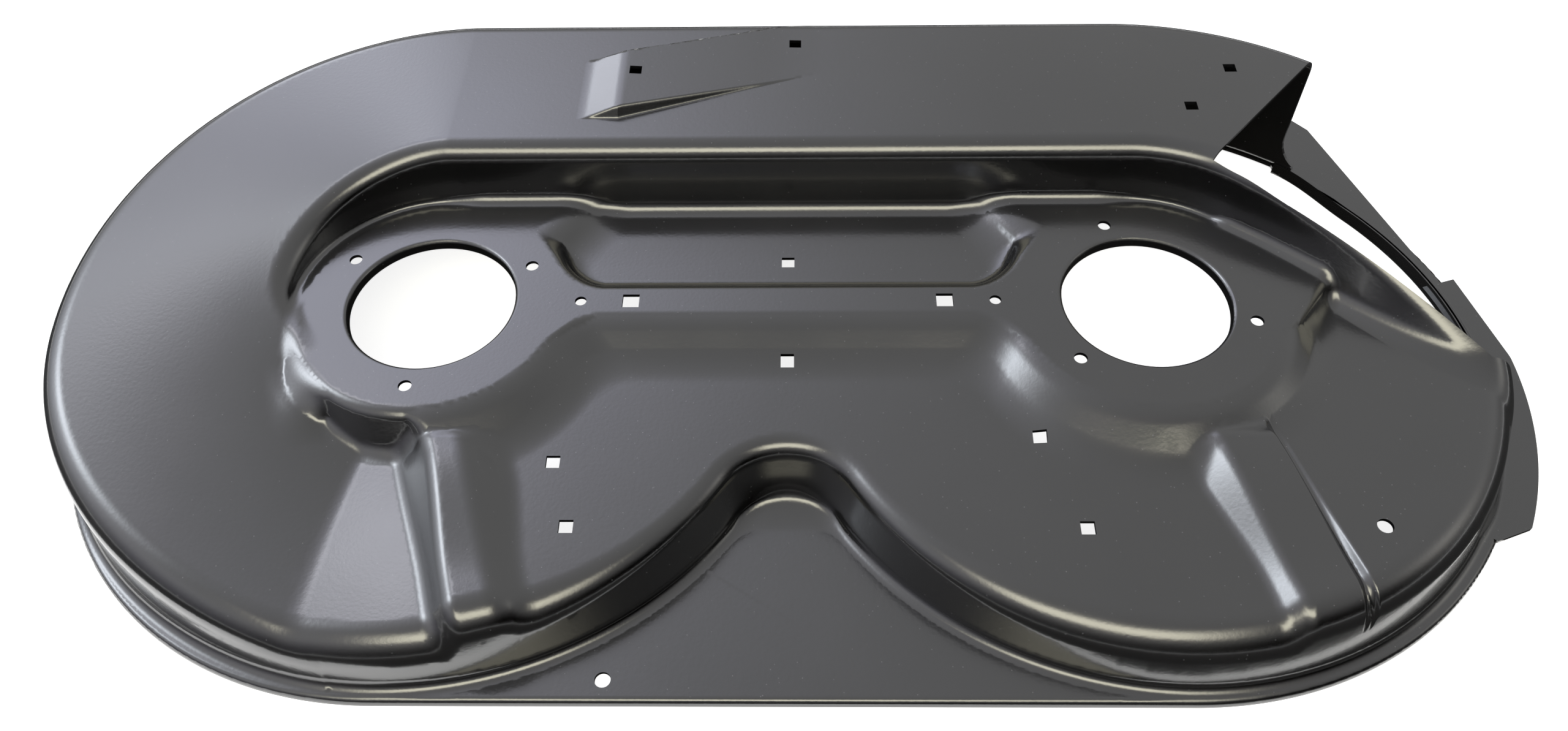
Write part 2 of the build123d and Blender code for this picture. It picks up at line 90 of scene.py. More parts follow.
CUSP_SHOULDER_R, CUSP_SHOULDER_FROM, CUSP_SHOULDER_OVER = 11.0, 40.0, 140.0
SKIRT_BLEND, SKIRT_FOOT_FROM, SKIRT_FOOT_OVER = 20.0, 6.0, 16.0
SKIRT_FADE_FROM, SKIRT_FADE_OVER, SKIRT_RIB_FROM, SKIRT_RIB_OVER = 60.0, 55.0, 12.0, 20.0
CREASE_FROM, CREASE_OVER = 60.0, 40.0
WALL_FOOT_Y, WALL_FOOT_OVER_Y, WALL_FOOT_X, WALL_FOOT_OVER_X = 45.0, 35.0, 165.0, 50.0
RIDGE_OUT_OVER, RIDGE_FOOT_OVER = 40.0, 30.0
SEAT_RIDGE_SOFT, SEAT_SIDE_SOFT = 1.5, 2.0
COLLAR_ROLL = 3.0
STRAP_BLEND = 16.0

# Mesh
CELL = 3.0
KEPT_SHARE = 0.36
FAR, MOUTH_REACH = 900.0, 400.0
HOLE_FOOT, BELOW = 20.0, -10.0
BORE_SIDES, HOLE_SIDES = 96, 28
COLLAR_LAP, FLANGE_TUCK = 0.1, 0.02
REFINED_FROM, REFINED_SIDE = 20.0, 5.0
SKIN_NEAR = 0.45

# Studio: the dark card on the floor, and the light of the surroundings
CARD_GAP, CARD_WIDTH, CARD_INSET, CARD_NEAR, CARD_LEVEL = 60.0, 1500.0, 6.0, 4.0, 0.0005
CARD_FADE, CARD_FADE_AT = 2.5, 0.25
FLOOR_HALF, FLOOR_GLOW = 6.0, 0.85
PALE = 0.35
# Soft-edged fields: the lighter ceiling, the dark room behind the camera and a warm window above it.
# Each side is a direction, and where along it the field starts and is full
FIELDS = [
    ([((0, 0, 1), 0.15, 0.5)], (0.27, 0.27, 0.27)),
    ([((0, -1, 0), 0.0, 0.45), ((0, 0, -1), -0.65, -0.35)], (-0.28, -0.28, -0.28)),
    ([((0, -1, 0), 0.1, 0.3), ((1, 0, 0), -0.5, -0.25), ((-1, 0, 0), -0.5, -0.2),
      ((0, 0, 1), 0.55, 0.66), ((0, 0, -1), -0.88, -0.76)], (4.4, 4.2, 3.3)),
]
# Soft glows: where each lies, how narrow it is, and its colour
GLOWS = [
    ((-0.64, 0.37, 0.67), 6.0, (0.48, 0.49, 0.58)),
    ((-0.33, 0.66, 0.67), 30.0, (1.15, 1.18, 1.5)),
    ((-0.40, 0.44, 0.80), 250.0, (2.3, 2.3, 2.5)),
    ((-0.48, 0.77, 0.42), 150.0, (2.6, 2.7, 3.0)),
    ((-0.70, 0.26, 0.66), 70.0, (3.2, 3.4, 3.7)),
    ((-0.69, 0.13, 0.71), 60.0, (2.6, 2.8, 3.0)),
    ((-0.87, 0.24, 0.42), 16.0, (0.75, 0.8, 0.9)),
    ((-0.82, -0.45, 0.35), 12.0, (0.35, 0.35, 0.4)),
    ((0.55, -0.60, 0.58), 8.0, (-0.25, -0.25, -0.25)),
    ((0.90, -0.08, 0.40), 60.0, (0.6, 0.58, 0.52)),
]

# Camera fitted to the photograph's holes and edges
CAMERA_AT = (0.00799, -0.56030, 0.70562)
CAMERA_RIGHT = (0.99985, 0.00887, -0.01495)
CAMERA_DOWN = (-0.00233, -0.78366, -0.62118)
CAMERA_AHEAD = (-0.01723, 0.62112, -0.78353)
LENS = 28.126
PICTURE = (2560, 1193)
CENTRE_Y = 596.0


def smooth(share):
    share = np.clip(share, 0.0, 1.0)
    return share * share * (3 - 2 * share)


def round_max(a, b, r):
    """Common part of two distance fields, with a rounded outer edge."""
    return np.minimum(np.maximum(a, b), -r) + np.hypot(np.maximum(a + r, 0), np.maximum(b + r, 0))


def round_min(a, b, r):
    """Both of two distance fields, with a rounded inner corner."""
    return np.maximum(np.minimum(a, b), r) - np.hypot(np.maximum(r - a, 0), np.maximum(r - b, 0))


def soft_max(a, b, width):
    return np.maximum(a, b) + np.maximum(width - np.abs(a - b), 0) ** 2 / (4 * width)


def soft_min(a, b, width):
    return -soft_max(-a, -b, width)


def ray(angle):
    return np.array([cos(radians(angle)), sin(radians(angle))])


def convex(x, y, points, soft):
    """Distance field of a convex plan with softened corners, given anticlockwise."""
    field = None
    for p, q in zip(points, points[1:] + points[:1]):
        length = np.hypot(q[0] - p[0], q[1] - p[1])
        side = ((x - p[0]) * (q[1] - p[1]) - (y - p[1]) * (q[0] - p[0])) / length
        field = side if field is None else soft_max(field, side, soft)
    return field


def across(x, y, at, angle):
    """Distance to the right of a rib's line."""
    return (y - at[1]) * cos(radians(angle)) - (x - at[0]) * sin(radians(angle))


def rib_lift(y):
    """Rise of the ribs towards the pads."""
    grown = smooth((y - RIB_LIFT_FROM) / RIB_LIFT_OVER)
    return RIB_LIFT * grown * smooth((RIB_LIFT_STOP - y) / RIB_LIFT_FADE)


def pocket_wall(x, y):
    """Height of the left rib's outer wall."""
    off = across(x, y, LEFT_RIB_AT, LEFT_RIB_ANGLE)
    return RIB_LEVEL + POCKET_LIFT * rib_lift(y) + (off + RIB_WIDTH / 2) / tan(radians(LEFT_RIB_DRAFTS[0]))


def rear_level(x, y):
    """Height of the rear panels with their ribs and groove."""
    panel = PANEL_LEVEL + (np.minimum(y, 0) + LOBE_R) * tan(radians(PANEL_TILT))
    lift = rib_lift(y)
    off = across(x, y, LEFT_RIB_AT, LEFT_RIB_ANGLE)
    low = LOW_LEVEL + LOW_LEAN * np.clip(off + POCKET_FOOT, -LOW_REACH, 0)
    level = low + (panel - low) * smooth(off / RIB_WIDTH + 0.5)
    top = RIB_LEVEL + lift
    left = pocket_wall(x, y)
    right = top - (off - RIB_WIDTH / 2) / tan(radians(LEFT_RIB_DRAFTS[1]))
    level = soft_max(level, soft_min(soft_min(left, right, PRESSED_EDGE), top, PRESSED_EDGE), PRESSED_EDGE)
    off = across(x, y, RIGHT_RIB_AT, RIGHT_RIB_ANGLE)
    top = RIB_LEVEL + lift * (1 - smooth((off - GROOVE_OFFSET) / GROOVE_STEP + 0.5))
    rib = soft_min(top + off / tan(radians(RIGHT_RIB_DRAFT)), top, RIGHT_RIB_EDGE)
    level = soft_max(level, rib, RIGHT_RIB_EDGE)
    groove = 1 - np.hypot((off - GROOVE_OFFSET) / (0.5 * GROOVE_WIDTH), GROOVE_ROUND)
    return level - GROOVE_DEPTH * soft_max(groove, 0 * groove, GROOVE_EDGE)


def pad_plan(x, y):
    """Plan of the spindle pads, the bridge and the fillings beside them."""
    mirrored = np.abs(x)
    plan = np.hypot(mirrored - HALF, y) - PAD_R
    bridge = np.maximum(np.abs(y) - BRIDGE_WIDTH / 2, mirrored - HALF)
    plan = round_min(plan, bridge, BRIDGE_CORNER_R)
    edge = np.array([HALF, 0]) + PAD_R * ray(180 - PAD_CORNER_TURN)
    ahead = TUNNEL_INNER_R + 2 * TUNNEL_CREST_R
    corner = [(HALF, ahead), (PAD_CORNER_X, ahead), (PAD_CORNER_X, TUNNEL_INNER_R), tuple(edge), (HALF, 0)]
    filling = CORNER_EASE * (convex(mirrored, y, corner, CORNER_SOFT) + CORNER_BACK)
    plan = soft_min(plan, filling, CORNER_BLEND)
    edge = np.array([HALF, 0]) + PAD_R * ray(PAD_KNUCKLE_TURN)
    ahead = np.array(PAD_KNUCKLE) + PAD_DEPTH * ray(90 + RIDGE_ANGLE)
    crest = np.array([HALF, 0]) + crest_r() * ray(90 + RIDGE_ANGLE)
    knuckle = [(HALF, 0), tuple(edge), tuple(ahead), tuple(crest)]
    return round_min(plan, convex(x, y, knuckle, KNUCKLE_SOFT), KNUCKLE_FOOT_R)


def crest_r():
    return TUNNEL_INNER_R + (ROOF_LEVEL - PAD_LEVEL) * tan(radians(TUNNEL_INNER_DRAFT))


def ridge_point(ahead, out):
    return np.array([HALF, 0]) + (crest_r() + out) * ray(90 + RIDGE_ANGLE) + ahead * ray(RIDGE_ANGLE)


def seat_rear(x):
    """Line of the seat's rear edge."""
    return SEAT_REAR_Y + np.maximum(x - SEAT_TOP_X, 0) * SEAT_SKEW_Y / (SEAT_RIGHT_X - SEAT_TOP_X)


def seat_rise(x, y):
    """Height of the wedge raised on the tunnel roof."""
    rear_line = seat_rear(x)
    front_line = SEAT_FRONT_Y + (x - SEAT_LEFT_X) * SEAT_SKEW_Y / (SEAT_RIGHT_X - SEAT_LEFT_X)
    slope = 1 / tan(radians(SEAT_DRAFT))
    left = (x - SEAT_LEFT_X) * SEAT_RISE / (SEAT_TOP_X - SEAT_LEFT_X)
    right = (SEAT_RIGHT_X - x) * SEAT_RISE / (SEAT_RIGHT_X - SEAT_TOP_X)
    rise = soft_min(left, right, SEAT_RIDGE_SOFT)
    rise = soft_min(rise, (y - rear_line) * slope, SEAT_SIDE_SOFT)
    rise = soft_min(rise, (front_line - y) * slope, SEAT_SIDE_SOFT)
    return soft_max(rise, 0 * rise, SEAT_RIDGE_SOFT)


def tunnel_field(x, y, z, wall):
    """Discharge tunnel: the ramp round the left spindle, the straight run and the ridge at the right."""
    turn = np.degrees(np.arctan2(y, x + HALF)) % 360
    round_left = x < -HALF
    wound = np.clip((turn - RAMP_END) / (RAMP_START - RAMP_END), 0, RAMP_BURIED)
    share = np.where(round_left, wound, 0.0)
    level = ROOF_LEVEL - (ROOF_LEVEL - LOW_LEVEL) * share**RAMP_EASE + seat_rise(x, y)
    grown = smooth((1 - share) * RAMP_GROWTH)
    foot = LOBE_R + (TUNNEL_R - LOBE_R) * grown
    draft = np.radians(LOBE_DRAFT + (TUNNEL_DRAFT - LOBE_DRAFT) * grown)
    inner = TUNNEL_INNER_R - RAMP_TUCK * smooth((share - RAMP_TUCK_FROM) / RAMP_TUCK_OVER)
    out = np.where(round_left, np.hypot(x + HALF, y), np.where(x > HALF, np.hypot(x - HALF, y), y))

    start, step, side = ridge_point(0, 0), ray(RIDGE_ANGLE), ray(90 + RIDGE_ANGLE)
    ahead = (x - start[0]) * step[0] + (y - start[1]) * step[1]
    on_ridge = ahead > 0
    ridden = np.clip(ahead / RIDGE_LENGTH, 0, 1)
    level = np.where(on_ridge, ROOF_LEVEL - RIDGE_DROP * ridden**RIDGE_EASE, level)
    crest = crest_r() + RIDGE_OUT * smooth(ahead / RIDGE_OUT_OVER)
    lean = np.radians(TUNNEL_INNER_DRAFT + (RIDGE_LAST_DRAFT - TUNNEL_INNER_DRAFT) * ridden**RIDGE_TURN)
    beyond = (x - HALF) * side[0] + y * side[1]

    tilt = radians(TUNNEL_INNER_DRAFT)
    inside = (inner + (z - PAD_LEVEL) * tan(tilt) - out) * cos(tilt)
    inside = np.where(on_ridge, (crest - (level - z) * np.tan(lean) - beyond) * np.cos(lean), inside)
    outside = np.where(on_ridge, wall, (out - foot + z * np.tan(draft)) * np.cos(draft))
    body = round_max(round_max(z - level, outside, TUNNEL_SHOULDER_R), inside, TUNNEL_CREST_R)
    end = ray(RAMP_START + RAMP_OVERLAP)
    behind = np.where((y < 0) & ~on_ridge, y * end[0] - (x + HALF) * end[1], -FAR)
    return np.maximum(body, behind), RIDGE_FOOT_R * smooth(ahead / RIDGE_FOOT_OVER)


def field(x, y, z):
    """Signed distance, nearly, from the upper skin: negative below it."""
    plan = np.hypot(x - np.clip(x, -HALF - RIM_LEFT_OUT, HALF + RIM_RIGHT_OUT), y - RIM_AHEAD) - RIM_R
    rim = round_max(plan, z - FLANGE_LEVEL, RIM_BEND_R)

    deep = np.sqrt((LOBE_R + CUSP_R) ** 2 - HALF**2)
    in_cusp = np.abs(x) * deep < (y + deep) * HALF
    behind = np.hypot(np.abs(x) - HALF, y) - LOBE_R
    behind = np.where(in_cusp, CUSP_R - np.hypot(x, y + deep), behind)
    front = np.hypot(np.maximum(np.abs(x) - HALF, 0), y) - LOBE_R
    draft = radians(LOBE_DRAFT)
    wall = (np.where(y > 0, front, behind) + z * tan(draft)) * cos(draft)
    east = rear_level(x + 0.5, y) - rear_level(x - 0.5, y)
    north = rear_level(x, y + 0.5) - rear_level(x, y - 0.5)
    top = (z - rear_level(x, y)) / np.sqrt(1 + east * east + north * north)
    aside = smooth((np.abs(x) - CUSP_SHOULDER_FROM) / CUSP_SHOULDER_OVER)
    rear = round_max(wall, top, CUSP_SHOULDER_R + (LOBE_SHOULDER_R - CUSP_SHOULDER_R) * aside)

    tunnel, blend = tunnel_field(x, y, z, wall)
    crease = 1e-3 + RAMP_CREASE * smooth((CREASE_FROM - HALF - x) / CREASE_OVER)
    body = np.minimum(round_min(rear, tunnel, blend), soft_min(rear, tunnel, crease))

    draft = radians(PAD_DRAFT)
    skirt = (pad_plan(x, y) - (PAD_LEVEL - z) * tan(draft)) * cos(draft)
    body = round_min(body, round_max(skirt, z - PAD_LEVEL, PAD_EDGE_R), PAD_FOOT_R)
    between = np.maximum(np.abs(x) - HALF, -y - BRIDGE_WIDTH / 2)
    plan = soft_min(np.hypot(np.abs(x) - HALF, y) - PAD_R, between, SKIRT_BLEND)
    draft = radians(SKIRT_DRAFT)
    spread = 1 - smooth((across(x, y, POCKET_AT, POCKET_ANGLE) + SKIRT_FADE_FROM) / SKIRT_FADE_OVER)
    off = across(x, y, LEFT_RIB_AT, LEFT_RIB_ANGLE)
    on_rib = smooth((off + RIB_WIDTH / 2 + SKIRT_RIB_FROM) / SKIRT_RIB_OVER)
    slope = (plan - (PAD_LEVEL - z) * tan(draft) * np.maximum(spread, on_rib)) * cos(draft)
    skirt = np.maximum(soft_max(slope, z - PAD_LEVEL, SKIRT_EDGE), y)
    body = soft_min(body, skirt, 1e-3 + SKIRT_FOOT * smooth((plan - SKIRT_FOOT_FROM) / SKIRT_FOOT_OVER))
    recess = np.maximum(np.maximum(np.abs(x) - HALF, -y), y - TUNNEL_INNER_R - TUNNEL_CREST_R)
    floor = z - LEDGE_LEVEL - LEDGE_LEAN * (y - BRIDGE_WIDTH / 2)
    ahead = smooth((y - WALL_FOOT_Y) / WALL_FOOT_OVER_Y)
    inside = smooth((WALL_FOOT_X - np.abs(x)) / WALL_FOOT_OVER_X)
    foot = LEDGE_FOOT_R + (WALL_FOOT_R - LEDGE_FOOT_R) * ahead * inside
    body = round_min(body, np.maximum(recess, floor), foot)
    return round_min(body, rim, FOOT_R)


def steepest(points):
    """Gradient of the field at points."""
    step = 0.25
    slopes = []
    for axis in range(3):
        shift = np.zeros(3)
        shift[axis] = step
        slopes.append(field(*(points + shift).T) - field(*(points - shift).T))
    return np.stack(slopes, axis=1) / (2 * step)


def gradient(points):
    """Unit normals of the field at points."""
    slopes = steepest(points)
    return slopes / np.maximum(np.linalg.norm(slopes, axis=1, keepdims=True), 1e-9)


def settle(points, rounds=4):
    """Points moved on to the upper skin, those on the floor along the floor."""
    points = points.copy()
    on_floor = points[:, 2] < 1e-4
    for _ in range(rounds):
        slopes = steepest(points)
        slopes[on_floor, 2] = 0
        size = np.maximum(np.linalg.norm(slopes, axis=1), 0.5)
        move = np.clip(field(*points.T) / size, -CELL, CELL)
        points -= 0.9 * (move / size)[:, None] * slopes
    points[on_floor, 2] = 0
    return points


def skin_mesh():
    """Upper skin by surface nets: vertices and quads, open along the floor."""
    xs = np.arange(-HALF - RIM_LEFT_OUT - RIM_R - 2 * CELL, HALF + RIM_R + 3 * CELL, CELL)
    ys = np.arange(RIM_AHEAD - RIM_R - 2 * CELL, RIM_AHEAD + RIM_R + 3 * CELL, CELL)
    zs = np.arange(0, ROOF_LEVEL + SEAT_RISE + 3 * CELL, CELL)
    values = field(xs[:, None, None], ys[None, :, None], zs[None, None, :])
    below = values < 0
    count = np.zeros(tuple(n - 1 for n in values.shape), dtype=np.int8)
    nx, ny, nz = count.shape
    for i in (0, 1):
        for j in (0, 1):
            for k in (0, 1):
                count += below[i:nx + i, j:ny + j, k:nz + k]
    crossed = (count > 0) & (count < 8)
    ids = np.full(count.shape, -1)
    cells = np.argwhere(crossed)
    ids[crossed] = np.arange(len(cells))

    total, hits = np.zeros((len(cells), 3)), np.zeros(len(cells))
    quads = []
    for axis in range(3):
        unit = np.eye(3, dtype=int)[axis]
        one, two = np.eye(3, dtype=int)[(axis + 1) % 3], np.eye(3, dtype=int)[(axis + 2) % 3]
        for a in (0, 1):
            for b in (0, 1):
                p = cells + a * one + b * two
                low, high = values[tuple(p.T)], values[tuple((p + unit).T)]
                hit = (low < 0) != (high < 0)
                share = np.where(hit, low / np.where(hit, low - high, 1), 0)
                total += np.where(hit[:, None], p + share[:, None] * unit, 0)
                hits += hit
        first = below[tuple(slice(0, -1) if k == axis else slice(None) for k in range(3))]
        second = below[tuple(slice(1, None) if k == axis else slice(None) for k in range(3))]
        edges = np.argwhere(first != second)
        edges = edges[np.all((edges > 0) | (np.arange(3) == axis), axis=1)]
        ring = [ids[tuple((edges - o).T)] for o in (one + two, two, 0 * one, one)]
        ring = np.stack(ring, axis=1)
        outward = below[tuple(edges.T)]
        ring = np.where(outward[:, None], ring, ring[:, ::-1])
        quads.append(ring)
    points = total / hits[:, None] * CELL + np.array([xs[0], ys[0], zs[0]])
    points[cells[:, 2] == 0, 2] = 0
    return settle(points), np.concatenate(quads)


def mesh_from(points, faces, name):
    mesh = bpy.data.meshes.new(name)
    mesh.from_pydata(np.asarray(points).tolist(), [], [list(map(int, face)) for face in faces])
    mesh.validate()
    return mesh


def arrays(mesh):
    points = np.empty(3 * len(mesh.vertices))
    mesh.vertices.foreach_get("co", points)
    mesh.calc_loop_triangles()
    faces = np.empty(3 * len(mesh.loop_triangles), dtype=np.int32)
    mesh.loop_triangles.foreach_get("vertices", faces)
    return points.reshape(-1, 3), faces.reshape(-1, 3)


def new_object(name, mesh):
    obj = bpy.data.objects.new(name, mesh)
    bpy.context.scene.collection.objects.link(obj)
    return obj


def evaluated(obj):
    """Mesh of an object with its modifiers applied."""
    graph = bpy.context.evaluated_depsgraph_get()
    graph.update()
    return bpy.data.meshes.new_from_object(obj.evaluated_get(graph))


def thinned(points, faces):
    """The skin with fewer triangles where it is flat, settled on the field again."""
    obj = new_object("skin_work", mesh_from(points, faces, "skin_work"))
    decimate = obj.modifiers.new("thin", "DECIMATE")
    decimate.ratio = KEPT_SHARE
    points, faces = arrays(evaluated(obj))
    bpy.data.objects.remove(obj)
    points[points[:, 2] < 0.3, 2] = 0
    return settle(points, 3), faces


def refined(points, faces):
    """The skin with finer triangles along the groove and the seat's rear edge, settled again."""
    for _ in range(2):
        mesh = bmesh.new()
        mesh.from_mesh(mesh_from(points, faces, "skin_work"))
        mesh.verts.ensure_lookup_table()
        x, y, z = points.T
        off = across(x, y, RIGHT_RIB_AT, RIGHT_RIB_ANGLE) - GROOVE_OFFSET
        near = (np.abs(off) < GROOVE_WIDTH) & (y < 0) & (z > REFINED_FROM)
        along = (x > SEAT_LEFT_X - REFINED_SIDE) & (x < SEAT_RIGHT_X) & (z > LEDGE_LEVEL)
        near |= along & (np.abs(y - seat_rear(x) - SEAT_RISE / 4) < SEAT_RISE)
        edges = [edge for edge in mesh.edges if any(near[v.index] for v in edge.verts)]
        bmesh.ops.subdivide_edges(mesh, edges=edges, cuts=1)
        bmesh.ops.triangulate(mesh, faces=mesh.faces)
        out = bpy.data.meshes.new("skin_work")
        mesh.to_mesh(out)
        mesh.free()
        points, faces = arrays(out)
        points = settle(points, 3)
    return points, faces


def thickened(points, faces):
    """Both skins of the sheet, closed along the rim's lower edge."""
    normal = gradient(points)
    on_floor = points[:, 2] < 1e-4
    normal[on_floor, 2] = 0
    normal /= np.linalg.norm(normal, axis=1, keepdims=True)
    lower = points - SHEET * normal
    count = len(points)
    edges = np.concatenate([faces[:, [0, 1]], faces[:, [1, 2]], faces[:, [2, 0]]])
    there = set(map(tuple, edges.tolist()))
    free = [(a, b) for a, b in there if (b, a) not in there]
    closing = [(b, a, a + count, b + count) for a, b in free]
    return np.concatenate([points, lower]), [*faces.tolist(), *(faces[:, ::-1] + count).tolist(), *closing]


def prism(mesh, corners, low, high):
    """Adds an upright prism to a bmesh; the corners run anticlockwise."""
    bottom = [mesh.verts.new((x, y, low)) for x, y in corners]
    top = [mesh.verts.new((x, y, high)) for x, y in corners]
    mesh.faces.new(top)
    mesh.faces.new(bottom[::-1])
    for k in range(len(corners)):
        n = (k + 1) % len(corners)
        mesh.faces.new((bottom[k], bottom[n], top[n], top[k]))


def circle(centre, radius, count):
    turns = [2 * pi * k / count for k in range(count)]
    return [(centre[0] + radius * cos(t), centre[1] + radius * sin(t)) for t in turns]


def square(centre, side):
    x, y = centre
    half = side / 2
    return [(x - half, y - half), (x + half, y - half), (x + half, y + half), (x - half, y + half)]


def mouth_lines():
    """Corner of the mouth and the end of its cut along the ridge."""
    corner = ridge_point(-MOUTH_BACK, RIDGE_LIP)
    step = ray(RIDGE_ANGLE)
    end = corner + (MOUTH_END_Y - corner[1]) / step[1] * step
    return corner, end


def hole_cutter():
    mesh = bmesh.new()
    high = ROOF_LEVEL + 2 * SEAT_RISE
    for centre, turn in BOLT_TURNS.items():
        bore_r = SPINDLE_HOLE_R + COLLAR_ROLL - COLLAR_LAP
        prism(mesh, circle((centre, 0), bore_r, BORE_SIDES), HOLE_FOOT, high)
        for k in range(3):
            bolt = np.array([centre, 0]) + SPINDLE_PCD / 2 * ray(turn + 120 * k)
            prism(mesh, circle(bolt, SPINDLE_BOLT_R, HOLE_SIDES), HOLE_FOOT, high)
    for sign in (-1, 1):
        prism(mesh, square((sign * BRIDGE_SQUARE_X, 0), BRIDGE_SQUARE), HOLE_FOOT, high)
        prism(mesh, circle((sign * BRIDGE_ROUND_X, 0), BRIDGE_ROUND_R, HOLE_SIDES), HOLE_FOOT, high)
    for at in SQUARES:
        prism(mesh, square(at, SMALL_SQUARE), HOLE_FOOT, high)
    for at in ROUND_HOLES:
        prism(mesh, circle(at, ROUND_HOLE_R, HOLE_SIDES), BELOW, high)

    corner, end = mouth_lines()
    step = ray(MOUTH_ANGLE)
    inward = np.array([step[1], -step[0]])
    profile = []
    for k in range(9):
        turn = radians(90 * k / 8)
        profile.append((MOUTH_CORNER_R * (1 - sin(turn)), STRAP_LEVEL + MOUTH_CORNER_R * (1 - cos(turn))))
    profile.append((0, high))
    low_right = np.array([FAR, MOUTH_END_Y])
    rows = []
    for out, z in profile:
        slide = out / np.dot(inward, ray(RIDGE_ANGLE))
        near = corner + slide * ray(RIDGE_ANGLE)
        rows.append((mesh.verts.new((*near, z)), mesh.verts.new((*(near + MOUTH_REACH * step), z))))
    floor = [mesh.verts.new((*end, STRAP_LEVEL)), mesh.verts.new((*low_right, STRAP_LEVEL)),
             mesh.verts.new((FAR, FAR, STRAP_LEVEL))]
    ceiling = [mesh.verts.new((*end, high)), mesh.verts.new((*low_right, high)),
               mesh.verts.new((FAR, FAR, high))]
    for a, b in zip(rows, rows[1:]):
        mesh.faces.new((a[0], b[0], b[1], a[1]))
    mesh.faces.new((rows[0][1], floor[2], floor[1], floor[0], rows[0][0])[::-1])
    mesh.faces.new((rows[-1][0], ceiling[0], ceiling[1], ceiling[2], rows[-1][1]))
    mesh.faces.new((*[row[0] for row in rows], ceiling[0], floor[0])[::-1])
    mesh.faces.new((*[row[1] for row in rows], ceiling[2], floor[2]))
    mesh.faces.new((floor[0], floor[1], ceiling[1], ceiling[0]))
    mesh.faces.new((floor[1], floor[2], ceiling[2], ceiling[1]))
    bmesh.ops.recalc_face_normals(mesh, faces=mesh.faces)
    out = bpy.data.meshes.new("holes")
    mesh.to_mesh(out)
    mesh.free()
    return out


def strap_point(turn, inward):
    """Plan point on the strap at a turn about the right spindle.

    The strap leaves the tunnel's wall at the mouth.
    """
    share = smooth((turn - mouth_turn() + STRAP_BLEND) / STRAP_BLEND)
    return np.array([HALF, 0]) + (STRAP_R + (TUNNEL_R - 1 - STRAP_R) * share - inward) * ray(turn)


def mouth_turn():
    """Turn about the right spindle at which the mouth's line meets the tunnel's wall."""
    away = mouth_lines()[0] - np.array([HALF, 0])
    step = ray(MOUTH_ANGLE)
    part = np.dot(away, step)
    meets = away + step * (np.sqrt(part**2 - np.dot(away, away) + TUNNEL_R**2) - part)
    return np.degrees(np.arctan2(meets[1], meets[0]))


def strap_turns(count):
    """Turns along the strap, from its rear end to the mouth's line."""
    return np.linspace(np.degrees(np.arcsin(MOUTH_END_Y / STRAP_R)), mouth_turn(), count)


def sill_cutter():
    """Everything inside the strap, below the mouth."""
    corner, end = mouth_lines()
    arc = [strap_point(t, SHEET) for t in strap_turns(60)]
    mesh = bmesh.new()
    prism(mesh, [tuple(corner), tuple(end), *map(tuple, arc)], BELOW, ROOF_LEVEL + 2 * SEAT_RISE)
    out = bpy.data.meshes.new("sill")
    mesh.to_mesh(out)
    mesh.free()
    return out


def cut(mesh, *cutters):
    """The mesh less each cutter in turn."""
    obj = new_object("cut_work", mesh)
    tools = []
    for k, cutter in enumerate(cutters):
        tool = new_object(f"cutter_{k}", cutter)
        boolean = obj.modifiers.new(f"cut_{k}", "BOOLEAN")
        boolean.operation, boolean.solver, boolean.object = "DIFFERENCE", "MANIFOLD", tool
        tools.append(tool)
    done = evaluated(obj)
    for each in [obj, *tools]:
        bpy.data.objects.remove(each)
    return done


def turn_of(point):
    return np.degrees(np.arctan2(point[1], point[0] - HALF))


